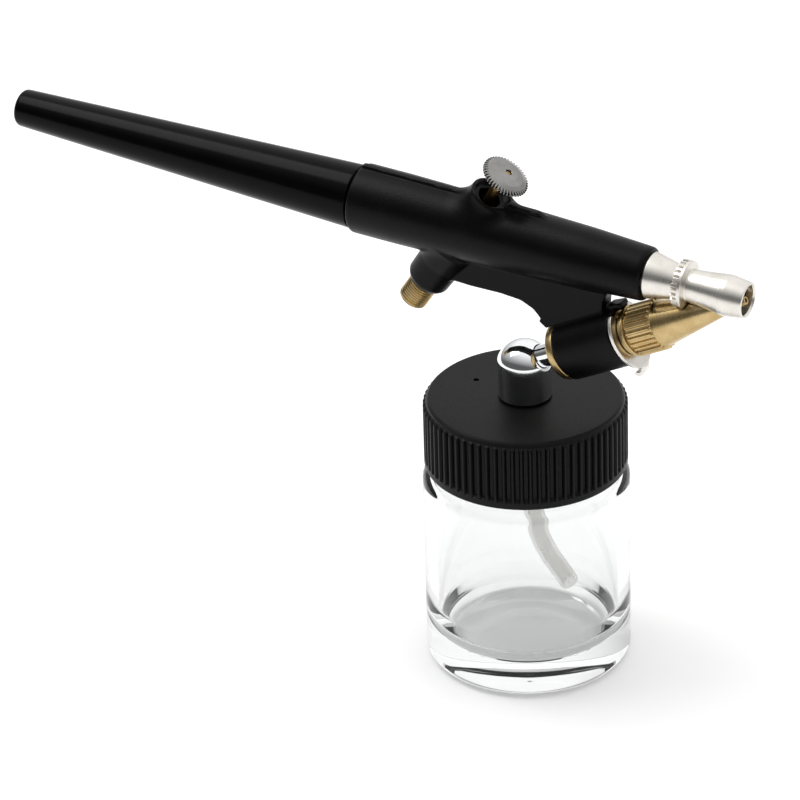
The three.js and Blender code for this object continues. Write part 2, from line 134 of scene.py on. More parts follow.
BOTTLE = Axis(Vector((0, 0, 0)), UP)
BARREL = Axis(crossing(middle("air_tube"), barrel_way, Vector((0, 0, 0)), UP), barrel_way)
VALVE = Axis(crossing(middle("stem_seal"), valve_way, middle("air_tube"), barrel_way), valve_way)
HEAD = Axis(Vector(JOINTS["tip_turn"]["pos_m"]), head_way)


# ---------------------------------------------------------------- materials

class Nodes:
    """A material's node tree, with short calls for the nodes that are used here."""

    def __init__(self, name):
        self.material = bpy.data.materials.new(name)
        self.material.use_nodes = True
        self.tree = self.material.node_tree
        self.shader = self.tree.nodes["Principled BSDF"]
        self.place = self.add("ShaderNodeTexCoord").outputs["Object"]
        self.station = self.add("ShaderNodeAttribute", attribute_name="station").outputs["Fac"]

    def add(self, kind, **values):
        node = self.tree.nodes.new(kind)
        for key, value in values.items():
            setattr(node, key, value)
        return node

    def link(self, source, target):
        self.tree.links.new(source, target)

    def set(self, **values):
        for key, value in values.items():
            self.shader.inputs[key.replace("_", " ")].default_value = value

    def noise(self, scale, detail=2.0, roughness=0.5, place=None):
        node = self.add("ShaderNodeTexNoise")
        node.inputs["Scale"].default_value = scale
        node.inputs["Detail"].default_value = detail
        node.inputs["Roughness"].default_value = roughness
        self.link(place or self.place, node.inputs["Vector"])
        return node.outputs["Fac"]

    def along(self, scale):
        """Coordinates that change only along the piece's own axis."""
        node = self.add("ShaderNodeMath", operation="MULTIPLY")
        node.inputs[1].default_value = scale
        self.link(self.station, node.inputs[0])
        combine = self.add("ShaderNodeCombineXYZ")
        self.link(node.outputs[0], combine.inputs["Z"])
        return combine.outputs[0]

    def spread(self, source, low, high, start=0.3, end=0.7):
        node = self.add("ShaderNodeMapRange")
        node.inputs["From Min"].default_value = start
        node.inputs["From Max"].default_value = end
        node.inputs["To Min"].default_value = low
        node.inputs["To Max"].default_value = high
        self.link(source, node.inputs["Value"])
        return node.outputs["Result"]

    def mix(self, source, color_a, color_b):
        node = self.add("ShaderNodeMix", data_type="RGBA")
        node.inputs[6].default_value = (*color_a, 1)
        node.inputs[7].default_value = (*color_b, 1)
        self.link(source, node.inputs["Factor"])
        return node.outputs[2]

    def bump(self, source, height_mm, strength=1.0):
        node = self.add("ShaderNodeBump")
        node.inputs["Strength"].default_value = strength
        node.inputs["Distance"].default_value = height_mm * MM
        self.link(source, node.inputs["Height"])
        self.link(node.outputs["Normal"], self.shader.inputs["Normal"])


def plastic(name, dark, light, roughness, grain_mm, height_mm, gloss):
    """Moulded plastic: slightly mottled colour and gloss over a fine grain."""
    nodes = Nodes(name)
    patch_mm = 6.25
    cloud = nodes.noise(1 / (patch_mm * MM), detail=4)
    nodes.link(nodes.mix(nodes.spread(cloud, 0, 1), dark, light), nodes.shader.inputs["Base Color"])
    grain = nodes.noise(1 / (grain_mm * MM), detail=3, roughness=0.6)
    nodes.link(nodes.spread(grain, *roughness), nodes.shader.inputs["Roughness"])
    nodes.bump(grain, height_mm)
    nodes.set(IOR=1.5, Specular_IOR_Level=gloss)
    return nodes.material


def turned_metal(name, color_a, color_b, roughness, ring_mm):
    """Turned metal: fine rings round the piece's own axis, and a little tarnish in soft patches."""
    nodes = Nodes(name)
    rings_per_metre = 9000
    patches = nodes.noise(300, detail=5, roughness=0.6)
    nodes.link(
        nodes.mix(nodes.spread(patches, 0, 1), color_a, color_b), nodes.shader.inputs["Base Color"]
    )
    rings = nodes.noise(1, detail=3, roughness=0.7, place=nodes.along(rings_per_metre))
    nodes.link(nodes.spread(rings, *roughness), nodes.shader.inputs["Roughness"])
    nodes.bump(rings, ring_mm)
    nodes.set(Metallic=1.0)
    return nodes.material


def glass(name):
    nodes = Nodes(name)
    waves = nodes.noise(90, detail=2)
    nodes.link(
        nodes.mix(nodes.spread(waves, 0, 1), (0.925, 0.932, 0.93), (0.945, 0.952, 0.95)),
        nodes.shader.inputs["Base Color"],
    )
    nodes.set(Roughness=0.0, IOR=1.42, Transmission_Weight=1.0)
    nodes.bump(waves, 0.01, strength=0.5)
    return nodes.material


def milky_plastic(name):
    nodes = Nodes(name)
    cloud = nodes.noise(250, detail=2)
    nodes.link(
        nodes.mix(nodes.spread(cloud, 0, 1), (0.97, 0.965, 0.945), (0.99, 0.985, 0.97)),
        nodes.shader.inputs["Base Color"],
    )
    nodes.link(nodes.spread(cloud, 0.25, 0.4), nodes.shader.inputs["Roughness"])
    nodes.set(IOR=1.04, Transmission_Weight=0.75)
    return nodes.material


SATIN_BLACK = plastic(
    "satin_black", (0.001, 0.001, 0.0012), (0.002, 0.002, 0.0022), roughness=(0.30, 0.42),
    grain_mm=0.3, height_mm=0.03, gloss=0.12,
)
GLOSS_BLACK = plastic(
    "gloss_black", (0.001, 0.001, 0.001), (0.002, 0.002, 0.002), roughness=(0.14, 0.22),
    grain_mm=1.2, height_mm=0.004, gloss=0.08,
)
CAP_BLACK = plastic(
    "cap_black", (0.002, 0.002, 0.002), (0.004, 0.004, 0.004), roughness=(0.34, 0.48),
    grain_mm=0.26, height_mm=0.03, gloss=0.15,
)
RUBBER = plastic(
    "rubber", (0.010, 0.010, 0.010), (0.018, 0.018, 0.018), roughness=(0.6, 0.75),
    grain_mm=0.3, height_mm=0.01, gloss=0.3,
)
BRASS = turned_metal(
    "brass", (0.46, 0.32, 0.13), (0.62, 0.47, 0.24), roughness=(0.22, 0.34), ring_mm=0.001,
)
DARK_BRASS = turned_metal(
    "dark_brass", (0.30, 0.18, 0.06), (0.42, 0.27, 0.10), roughness=(0.26, 0.40), ring_mm=0.004,
)
NICKEL = turned_metal(
    "nickel", (0.72, 0.69, 0.63), (0.86, 0.83, 0.78), roughness=(0.24, 0.36), ring_mm=0.001,
)
SATIN_CHROME = turned_metal(
    "satin_chrome", (0.25, 0.245, 0.235), (0.34, 0.335, 0.325), roughness=(0.14, 0.2), ring_mm=0.0003,
)
CHROME = turned_metal(
    "chrome", (0.88, 0.89, 0.90), (0.94, 0.95, 0.96), roughness=(0.05, 0.1), ring_mm=0.0008,
)
STEEL = turned_metal(
    "steel", (0.52, 0.52, 0.53), (0.62, 0.62, 0.63), roughness=(0.2, 0.32), ring_mm=0.003,
)
GLASS = glass("clear_glass")
MILKY = milky_plastic("milky_plastic")


# ---------------------------------------------------------------- meshes

def place(mesh, name, axis, material, smooth_degrees=SMOOTH_DEGREES):
    """A piece from a mesh drawn along an axis, with the turn put into the mesh itself."""
    mesh.transform(axis.matrix)
    mesh.materials.append(material)
    mesh.shade_smooth()
    mesh.set_sharp_from_angle(angle=math.radians(smooth_degrees))
    piece = bpy.data.objects.new(name, mesh)
    bpy.context.scene.collection.objects.link(piece)
    return piece


def mesh_of(vertices, faces):
    """A clean mesh from millimetre points, with doubled points joined."""
    mesh = bpy.data.meshes.new("shape")
    mesh.from_pydata((np.asarray(vertices) * MM).tolist(), [], faces)
    work = bmesh.new()
    work.from_mesh(mesh)
    bmesh.ops.remove_doubles(work, verts=work.verts, dist=1e-4 * MM)
    bmesh.ops.dissolve_degenerate(work, edges=work.edges, dist=1e-5 * MM)
    bmesh.ops.recalc_face_normals(work, faces=work.faces)
    work.to_mesh(mesh)
    work.free()
    return mesh


def rounded(corners, steps=4):
    """A closed outline whose corners (u, v, size) are rounded to that size; (u, v) stays sharp."""
    most = 0.48          # share of a side that one corner may take
    outline = []
    count = len(corners)
    for i, corner in enumerate(corners):
        here = np.array(corner[:2], float)
        size = corner[2] if len(corner) > 2 else 0
        if size == 0:
            outline.append(here)
            continue
        back = np.array(corners[i - 1][:2], float) - here
        ahead = np.array(corners[(i + 1) % count][:2], float) - here
        back_length = np.linalg.norm(back)
        ahead_length = np.linalg.norm(ahead)
        cosine = np.clip(back @ ahead / (back_length * ahead_length), -1, 1)
        setback = size / math.tan(math.acos(cosine) / 2)
        setback = min(setback, most * back_length, most * ahead_length)
        start = here + back / back_length * setback
        end = here + ahead / ahead_length * setback
        for step in range(steps + 1):
            t = step / steps
            outline.append((1 - t) ** 2 * start + 2 * t * (1 - t) * here + t ** 2 * end)
    return np.array(outline)


def arc(radius, station, size, from_degrees, to_degrees, steps=10):
    angles = np.radians(np.linspace(from_degrees, to_degrees, steps + 1))
    return [(radius + size * math.cos(a), station + size * math.sin(a)) for a in angles]


def refined(outline, longest):
    """The outline with long stretches split, so that relief has points to move."""
    points = []
    for here, ahead in zip(outline, np.roll(outline, -1, axis=0)):
        pieces = max(1, math.ceil(np.linalg.norm(ahead - here) / longest))
        for step in range(pieces):
            points.append(here + (ahead - here) * step / pieces)
    return np.array(points)


def turned_mesh(outline, sides, relief=None):
    angles = np.linspace(0, 2 * np.pi, sides, endpoint=False)
    radius = np.repeat(outline[:, :1], sides, axis=1)
    station = np.repeat(outline[:, 1:2], sides, axis=1)
    if relief:
        radius = relief(np.broadcast_to(angles, radius.shape), station, radius)
    points = np.stack([radius * np.cos(angles), radius * np.sin(angles), station], axis=2)
    rows = len(outline)
    faces = []
    for i in range(rows):
        for j in range(sides):
            ahead, beside = (i + 1) % rows, (j + 1) % sides
            faces.append((i * sides + j, i * sides + beside, ahead * sides + beside, ahead * sides + j))
    return mesh_of(points.reshape(-1, 3), faces)


def turned(name, corners, axis, material, sides=96, relief=None, longest=None,
           smooth_degrees=SMOOTH_DEGREES):
    """A turned piece from a closed anticlockwise profile of (radius, station[, corner size])."""
    outline = rounded(corners)
    if longest:
        outline = refined(outline, longest)
    return place(turned_mesh(outline, sides, relief), name, axis, material, smooth_degrees)


def swept_mesh(path, reference, sides, outer, inner=0):
    """A hose along a path, as one closed sheet that goes back up its bore, or a wire if it has none.

    The reference direction is never along the path.
    """
    tangents = np.gradient(path, axis=0)
    tangents /= np.linalg.norm(tangents, axis=1)[:, None]
    across = np.cross(tangents, reference)
    across /= np.linalg.norm(across, axis=1)[:, None]
    beside = np.cross(tangents, across)
    angles = np.linspace(0, 2 * np.pi, sides, endpoint=False)[None, :, None]
    section = np.cos(angles) * across[:, None, :] + np.sin(angles) * beside[:, None, :]
    centres = path[:, None, :] + np.zeros_like(section)
    outside = centres + outer * section
    if inner:
        loops = np.concatenate([outside, (centres + inner * section)[::-1]])
        spans = len(loops)
    else:
        loops = np.concatenate([centres[:1], outside, centres[-1:]])
        spans = len(loops) - 1
    faces = []
    for i in range(spans):
        for j in range(sides):
            here, ahead = i * sides, (i + 1) % len(loops) * sides
            next_side = (j + 1) % sides
            faces.append((here + j, ahead + j, ahead + next_side, here + next_side))
    return mesh_of(loops.reshape(-1, 3), faces)


def carve(piece, cutter_mesh, axis):
    """Cuts a closed mesh, given along an axis, out of a piece."""
    cutter_mesh.transform(axis.matrix)
    cutter = bpy.data.objects.new("cutter", cutter_mesh)
    bpy.context.scene.collection.objects.link(cutter)
    cut = piece.modifiers.new("cut", "BOOLEAN")
    cut.operation = "DIFFERENCE"
    cut.solver = "EXACT"
    cut.object = cutter
    bpy.context.view_layer.update()
    graph = bpy.context.evaluated_depsgraph_get()
    carved = bpy.data.meshes.new_from_object(piece.evaluated_get(graph))
    piece.modifiers.clear()
    piece.data = carved
    carved.shade_smooth()
    carved.set_sharp_from_angle(angle=math.radians(SMOOTH_DEGREES))
    bpy.data.objects.remove(cutter)


def rod_mesh(radius, low, high, sides=64):
    return turned_mesh(np.array([(0, low), (radius, low), (radius, high), (0, high)], float), sides)


def box_mesh(low, high):
    """A box from its lowest to its highest corner, in an axis's own directions."""
    work = bmesh.new()
    bmesh.ops.create_cube(work, size=1)
    low, high = Vector(low) * MM, Vector(high) * MM
    for vertex in work.verts:
        vertex.co = Vector(a + (b - a) * (c + 0.5) for a, b, c in zip(low, high, vertex.co))
    mesh = bpy.data.meshes.new("box")
    work.to_mesh(mesh)
    work.free()
    return mesh


def grown_box(node, margin):
    """A CAD node's box in millimetres, with a margin all round."""
    low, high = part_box(node)
    return [value / MM - margin for value in low], [value / MM + margin for value in high]


def finish_piece(piece, axis, body, slot, *nodes):
    """Marks each vertex with its station along the axis, then ties the piece to the frame."""
    points = np.array([vertex.co for vertex in piece.data.vertices]) / MM
    station = piece.data.attributes.new("station", "FLOAT", "POINT")
    station.data.foreach_set("value", axis.local(points)[:, 2] * MM)
    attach(piece, body)
    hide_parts(*nodes)


# ---------------------------------------------------------------- moulded shapes

def outline_distance(u, v, outline, skip_axis=False):
    """Signed distance from points (u, v) to a closed outline, negative inside."""
    tiny = 1e-12
    nearest = np.full(u.shape, np.inf)
    inside = np.zeros(u.shape, bool)
    for (au, av), (bu, bv) in zip(outline, np.roll(outline, -1, axis=0)):
        du, dv = bu - au, bv - av
        length = du * du + dv * dv
        if length < tiny:
            continue
        on_axis = skip_axis and abs(au) < tiny and abs(bu) < tiny
        if not on_axis:
            t = np.clip(((u - au) * du + (v - av) * dv) / length, 0, 1)
            nearest = np.minimum(nearest, (u - au - du * t) ** 2 + (v - av - dv * t) ** 2)
        if abs(dv) > tiny:
            crosses = ((av > v) != (bv > v)) & (u < du * (v - av) / dv + au)
            inside ^= crosses
    return np.where(inside, -1.0, 1.0) * np.sqrt(nearest)


def revolved(corners, axis):
    outline = rounded(corners)

    def distance(points):
        local = axis.local(points)
        radius = np.hypot(local[:, 0], local[:, 1])
        return outline_distance(radius, local[:, 2], outline, skip_axis=True)
    return distance


def slab(corners, low_y, high_y, edge, axis=None):
    """A plate in the XZ plane, or in an axis's own (station, height) plane, with rounded edges."""
    outline = rounded(corners)

    def distance(points):
        if axis:
            local = axis.local(points)
            u, v = local[:, 2], -local[:, 0]
        else:
            u, v = points[:, 0], points[:, 2]
        flat = outline_distance(u, v, outline) + edge
        deep = np.abs(points[:, 1] - (low_y + high_y) / 2) - (high_y - low_y) / 2 + edge
        outside = np.hypot(np.maximum(flat, 0), np.maximum(deep, 0))
        return outside + np.minimum(np.maximum(flat, deep), 0) - edge
    return distance


def blended(a, b, size):
    """The union of two distances, with a fillet of about that size where they meet."""
    near = np.maximum(size - np.abs(a - b), 0) / size
    return np.minimum(a, b) - near * near * size / 4


def surface_net(distance, low, high, step):
    """Quads on the zero surface of a signed distance, over a box in millimetres."""
    coarse = 4           # the field is first sampled at every fourth point
    counts = [int(math.ceil((b - a) / (step * coarse))) * coarse + 1 for a, b in zip(low, high)]
    lines = [a + step * np.arange(n) for a, n in zip(low, counts)]
    rough_lines = [line[::coarse] for line in lines]
    rough = distance(np.stack(np.meshgrid(*rough_lines, indexing="ij"), axis=-1).reshape(-1, 3))
    rough = rough.reshape([len(line) for line in rough_lines])
    nearest = [np.minimum((np.arange(n) + coarse // 2) // coarse, len(r) - 1)
               for n, r in zip(counts, rough_lines)]
    field = rough[np.ix_(*nearest)]
    band = np.argwhere(np.abs(field) < step * coarse * 1.3)
    points = np.stack([lines[k][band[:, k]] for k in range(3)], axis=1)
    field[tuple(band.T)] = distance(points)

    corner_steps = np.array([[i, j, k] for i in (0, 1) for j in (0, 1) for k in (0, 1)])
    inside = field < 0
    cells = tuple(n - 1 for n in counts)
    total = np.zeros(cells, np.int8)
    for i, j, k in corner_steps:
        total += inside[i:i + cells[0], j:j + cells[1], k:k + cells[2]]
    active = np.argwhere((total > 0) & (total < 8))
    index = np.full(cells, -1, np.int64)
    index[tuple(active.T)] = np.arange(len(active))

    sums = np.zeros((len(active), 3))
    hits = np.zeros(len(active))
    values = [field[tuple((active + c).T)] for c in corner_steps]
    for a in range(8):
        for b in range(a + 1, 8):
            if np.abs(corner_steps[a] - corner_steps[b]).sum() != 1:
                continue
            va, vb = values[a], values[b]
            mixed = (va < 0) != (vb < 0)
            t = np.where(mixed, va / np.where(mixed, va - vb, 1), 0)
            spot = corner_steps[a] + (corner_steps[b] - corner_steps[a]) * t[:, None]
            sums += np.where(mixed[:, None], spot, 0)
            hits += mixed
    vertices = np.array(low) + step * (active + sums / hits[:, None])

    faces = []
    for k in range(3):
        i, j = (k + 1) % 3, (k + 2) % 3
        ahead = np.zeros(3, int)
        ahead[k] = 1
        shape = [n - a for n, a in zip(counts, ahead)]
        first = inside[:shape[0], :shape[1], :shape[2]]
        second = inside[tuple(slice(a, a + n) for a, n in zip(ahead, shape))]
        for flip in (False, True):
            edges = np.argwhere((first & ~second) if not flip else (~first & second))
            edges = edges[(edges[:, i] > 0) & (edges[:, j] > 0)]
            edges = edges[(edges[:, i] < cells[i]) & (edges[:, j] < cells[j])]
            back_i, back_j = np.zeros(3, int), np.zeros(3, int)
            back_i[i], back_j[j] = 1, 1
            ring = [edges - back_i - back_j, edges - back_j, edges, edges - back_i]
            quads = np.stack([index[tuple(cell.T)] for cell in ring], axis=1)
            faces.append(quads[:, ::-1] if flip else quads)
    faces = np.concatenate(faces)

    small = step * 0.02
    for _ in range(2):
        here = distance(vertices)
        slope = np.stack([
            (distance(vertices + small * np.eye(3)[k]) - here) / small for k in range(3)
        ], axis=1)
        size = np.maximum((slope ** 2).sum(axis=1), 0.3)
        move = slope * (here / size)[:, None]
        vertices = vertices - np.clip(move, -step * 0.6, step * 0.6)
    return vertices, faces.tolist()


def moulded(name, distance, low, high, step, material, smooth_degrees=40):
    vertices, faces = surface_net(distance, low, high, step)
    mesh = mesh_of(vertices, faces)
    world = Axis(Vector((0, 0, 0)), UP)
    return place(mesh, name, world, material, smooth_degrees)


# ---------------------------------------------------------------- body and handle

BODY_REAR, BODY_FRONT = -30.2, 23.2
SOCKET_DEPTH = 9.5
BOSS_RADIUS, BOSS_TOP = 3.6, 8.4
INLET_SHOULDER = -14.4
SLEEVE_RADIUS, SLEEVE_BORE = 5.3, 4.2
SLEEVE_REAR, SLEEVE_FRONT = -34.7, -23.05


def body_distance():
    """The moulded body: barrel, top rib, two bosses, web and sleeve, with its bores cut out."""
    barrel = revolved([
        (0, BODY_REAR), (5.95, BODY_REAR, 0.5), (5.95, -22, 4), (5.75, -10, 10), (5.1, 12, 20),
        (4.5, BODY_FRONT, 0.8), (0, BODY_FRONT),
    ], BARREL)
    rib = slab([
        (BODY_REAR + 0.3, 3), (BODY_REAR + 0.3, 6.45, 0.3), (-12, 6.35, 4), (2.8, 6.1, 0.4),
        (4.4, 5.2, 0.3), (4.4, 3),
    ], -0.65, 0.65, 0.25, BARREL)
    boss = revolved([(0, 0), (BOSS_RADIUS, 0), (BOSS_RADIUS, BOSS_TOP, 0.45), (0, BOSS_TOP)], VALVE)
    inlet = revolved([
        (0, INLET_SHOULDER), (3.05, INLET_SHOULDER, 0.3), (3.7, INLET_SHOULDER + 1, 0.8),
        (3.85, -9, 3), (4.6, -4.5), (0, -3),
    ], VALVE)
    sleeve = revolved([
        (0, SLEEVE_REAR), (SLEEVE_RADIUS, SLEEVE_REAR, 0.25), (SLEEVE_RADIUS, SLEEVE_FRONT, 0.25),
        (0, SLEEVE_FRONT),
    ], HEAD)
    key = slab([
        (-24, 4.65), (-20.85, 4.65, 0.2), (-20.85, 5.5, 0.35), (-23.4, 5.75, 0.3), (-24.4, 5),
    ], -1.3, 1.3, 0.2, HEAD)
    web = slab([
        (-16, 74), (-13.2, 68.8), (-9, 68.5, 2), (-3.4, 68.4, 4), (0.3, 68.0, 3),
        (2.6, 66.9, 2), (4.0, 65.4, 0.5), (3.6, 64.9, 0.2), (4.9, 63.9, 0.2), (9, 62),
        (15.2, 67), (15.4, 71, 1.5), (16.8, 74.6, 1.5), (10, 77),
    ], -1.8, 1.8, 0.25)

    handle_socket = revolved([
        (0, BODY_REAR - 1.3), (4.3, BODY_REAR - 1.3), (4.3, BODY_REAR + SOCKET_DEPTH + 0.5),
        (0, BODY_REAR + SOCKET_DEPTH + 0.5),
    ], BARREL)
    nozzle_socket = revolved([
        (0, -12), (1.5, -12), (1.5, 15.2), (3.3, 15.2), (3.3, BODY_FRONT + 1.3), (0, BODY_FRONT + 1.3),
    ], BARREL)
    valve_bore = revolved([
        (0, INLET_SHOULDER - 1.2), (2.8, INLET_SHOULDER - 1.2), (2.8, -11.2), (1.9, -11.2), (1.9, -9),
        (1.25, -9), (1.25, 1.5), (2, 1.5), (2, 7.5), (2.6, 7.5), (3.15, BOSS_TOP),
        (3.15, BOSS_TOP + 1.2), (0, BOSS_TOP + 1.2),
    ], VALVE)
    head_bore = revolved([
        (0, SLEEVE_REAR - 2.6), (SLEEVE_RADIUS, SLEEVE_REAR - 2.6), (SLEEVE_RADIUS, SLEEVE_REAR),
        (SLEEVE_BORE, SLEEVE_REAR), (SLEEVE_BORE, SLEEVE_FRONT + 4), (0, SLEEVE_FRONT + 4),
    ], HEAD)

    def head(points):
        return blended(sleeve(points), key(points), 0.3)

    joins = ((rib, 0.3), (boss, 2.4), (inlet, 1.0), (web, 0.5), (head, 0.5))
    bores = (handle_socket, nozzle_socket, valve_bore, head_bore)
    bore_edge = 0.15

    def distance(points):
        whole = barrel(points)
        for shape, fillet in joins:
            whole = blended(whole, shape(points), fillet)
        for bore in bores:
            whole = -blended(-whole, bore(points), bore_edge)
        return whole
    return distance


def body_shell():
    low, high = grown_box("body_shell", margin=1.2)
    step = 0.24
    piece = moulded("body_moulding", body_distance(), low, high, step, SATIN_BLACK)
    finish_piece(piece, BARREL, "gun_body", "satin_black", "body_shell")


def handle():
    rear, front = BARREL.span("handle")
    shoulder = BODY_REAR - 0.3
    piece = turned("handle_taper", [
        (0, rear), (3.25, rear, 0.9), (5.44, shoulder - 0.3, 0.15), (5.15, shoulder), (4, shoulder),
        (4, front - 0.6), (3.6, front), (2.6, front), (2.6, -60), (1.2, -84), (0, -85),
    ], BARREL, GLOSS_BLACK, sides=160)
    finish_piece(piece, BARREL, "handle_body", "gloss_black", "handle")


# ---------------------------------------------------------------- valve, inlet and button

def thread_relief(outer, depth, pitch, low, high):
    """A right-hand V thread cut into the outside of a turned piece."""
    def relief(angle, station, radius):
        turn = station / pitch - angle / (2 * np.pi)
        wave = np.abs((turn % 1) - 0.5) * 2
        fade = np.clip((station - low) / pitch, 0, 1) * np.clip((high - station) / pitch, 0, 1)
        cut = 1 - np.clip(wave * 1.25, 0, 1)
        return np.minimum(radius, outer - depth * cut * fade)
    return relief


def air_inlet():
    end, top = VALVE.span("air_inlet_fitting")
    outer = 2.5
    relief = thread_relief(outer, 0.3, 0.5, end + 0.35, INLET_SHOULDER + 0.1)
    piece = turned("inlet_nipple", [
        (1.1, end, 0.15), (2.15, end, 0.2), (outer, end + 0.35, 0.05), (outer, top), (1.75, top),
        (1.75, -16.9), (1.1, -16.9),
    ], VALVE, BRASS, sides=120, relief=relief, longest=0.05)
    finish_piece(piece, VALVE, "gun_body", "brass", "air_inlet_fitting")


def valve_stem():
    low, high = VALVE.span("valve_stem")
    piece = turned("stem", [
        (0, low), (0.6, low, 0.1), (0.6, 5.2), (0.85, 5.4), (0.85, high - 1.1), (0.42, high - 1.0),
        (0.42, high, 0.08), (0, high),
    ], VALVE, DARK_BRASS, sides=48)
    finish_piece(piece, VALVE, "trigger", "brass", "valve_stem")


def trigger_button():
    base, top = VALVE.span("trigger_button")
    radius = VALVE.reach("trigger_button")
    rim = base + 0.6
    teeth = 44
    lean = 0.5

    def relief(angle, station, around):
        turn = teeth * angle / (2 * np.pi) + (station - base) * lean
        wave = np.abs((turn % 1) - 0.5) * 2
        return np.minimum(around, radius - 0.7 * np.clip(1.8 * wave - 0.5, 0, 1))

    piece = turned("button", [
        (1.05, base), (radius - 0.2, base, 0.08), (radius, base + 0.12, 0.05),
        (radius, rim - 0.05, 0.1), (radius - 0.5, rim + 0.14, 0.15), (2.8, rim + 0.55, 1.5),
        (1.6, rim + 0.9, 1.0), (0.6, top, 0.08), (0.52, top - 0.12, 0.05), (0.52, top - 0.95),
        (1.05, top - 1.0),
    ], VALVE, SATIN_CHROME, sides=teeth * 10, relief=relief, longest=0.12)
    finish_piece(piece, VALVE, "trigger", "chrome", "trigger_button")


def valve_spring():
    """A coil of steel wire swept along a helix over the span of the CAD spring."""
    low, high = VALVE.span("valve_spring")
    wire = 0.17
    turns, points_per_turn = 4.5, 32
    radius = VALVE.reach("valve_spring") - wire
    turn = np.linspace(0, 2 * np.pi * turns, int(turns * points_per_turn) + 1)
    station = np.linspace(low + wire, high - wire, len(turn))
    path = np.stack([radius * np.cos(turn), radius * np.sin(turn), station], axis=1)
    mesh = swept_mesh(path, reference=(0, 0, 1), sides=10, outer=wire)
    piece = place(mesh, "spring_coil", VALVE, STEEL)
    finish_piece(piece, VALVE, "gun_body", "steel", "valve_spring")
    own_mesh(piece)


def valve_guide():
    low, high = VALVE.span("valve_guide")
    piece = turned("guide_bush", [
        (1.05, low), (1.85, low, 0.1), (1.85, high, 0.15), (1.05, high, 0.1),
    ], VALVE, DARK_BRASS, sides=64)
    carve(piece, box_mesh((-2.5, -0.3, high - 0.6), (2.5, 0.3, high + 1)), VALVE)
    finish_piece(piece, VALVE, "gun_body", "brass", "valve_guide")


# ---------------------------------------------------------------- nozzle

def nozzle_base():
    low, high = BARREL.span("nozzle_base")
    rear = BODY_FRONT + 0.3
    front = BARREL.span("air_cap")[0] - 0.3
    piece = turned("nozzle_cone", [
        (1.2, low), (3, low, 0.2), (3, rear), (3.95, rear, 0.15), (2.85, front, 0.1), (1.9, front),
        (1.9, high), (1.2, high),
    ], BARREL, NICKEL, sides=120)
    finish_piece(piece, BARREL, "gun_body", "nickel", "nozzle_base")


CONE_BASE, CONE_BASE_RADIUS, CONE_TIP_RADIUS = -15.6, 3.9, 0.65
KNURL_REAR, KNURL_RADIUS = -20.6, 4.35


def tip_clearance(clearance):
    """A cone that clears the paint tip through its travel."""
    end = HEAD.span("fluid_tip")[1]
    overrun = 1
    slope = (CONE_BASE_RADIUS - CONE_TIP_RADIUS) / (end - CONE_BASE)
    profile = [
        (0, CONE_BASE), (CONE_BASE_RADIUS + clearance, CONE_BASE),
        (CONE_TIP_RADIUS - slope * overrun + clearance, end + overrun), (0, end + overrun),
    ]
    return turned_mesh(np.array(profile, float), 96)


def air_cap():
    rear, opening = BARREL.span("air_cap")
    radius = BARREL.reach("air_cap")
    flutes = 26
    knurl_end = rear + 1.1
    front = rear + 1.7

    def relief(angle, station, around):
        wave = 0.5 - 0.5 * np.cos(flutes * angle)
        groove = np.clip(wave * 2.2 - 0.7, 0, 1) * (station < knurl_end)
        return np.minimum(around, radius - 0.55 * groove)

    piece = turned("air_cap_shell", [
        (2.15, rear + 0.3), (3.1, rear + 0.3), (3.1, rear), (radius, rear, 0.1),
        (radius, knurl_end - 0.02), (radius, knurl_end + 0.02), (radius, front - 0.1, 0.12),
        (radius - 0.25, front, 0.08), (2.75, front + 0.25, 0.2), (3.05, 33.8, 3), (3.42, 36.6, 2.0),
        (3.45, 37.4, 1.5), (3.02, opening - 0.12, 0.1), (2.72, opening, 0.1),
        (2.5, opening - 0.4, 0.1), (2.5, 34.2, 0.3), (1.7, 32.7, 0.2), (1.7, front - 0.1),
        (2.15, front - 0.1),
    ], BARREL, NICKEL, sides=flutes * 12, relief=relief, longest=0.3)
    carve(piece, tip_clearance(0.4), HEAD)
    finish_piece(piece, BARREL, "gun_body", "nickel", "air_cap")


def air_jet():
    low, high = BARREL.span("air_jet")
    piece = turned("jet", [
        (0.45, low), (1.4, low, 0.1), (1.4, low + 1.2, 0.15), (0.85, high, 0.1), (0.45, high, 0.1),
    ], BARREL, DARK_BRASS, sides=64)
    finish_piece(piece, BARREL, "gun_body", "brass", "air_jet")


# ---------------------------------------------------------------- fluid head

def fluid_tube():
    rear, front = HEAD.span("fluid_tube")
    clip_front = HEAD.span("spring_clip")[1]
    clip_rear = clip_front - 0.6
    piece = turned("fluid_tube_body", [
        (2.15, rear, 0.15), (5, rear, 0.3), (5, rear + 1.4, 0.3), (3.9, rear + 1.4),
        (3.9, clip_rear - 0.15), (3.2, clip_rear - 0.15), (3.2, clip_front + 0.15),
        (3.9, clip_front + 0.15, 0.1), (3.9, -21.4, 0.2), (2.3, -21.4), (2.3, front), (1.2, front),
        (1.2, -28.6), (2.15, -28.6),
    ], HEAD, BRASS, sides=120)
    finish_piece(piece, HEAD, "gun_body", "brass", "fluid_tube")


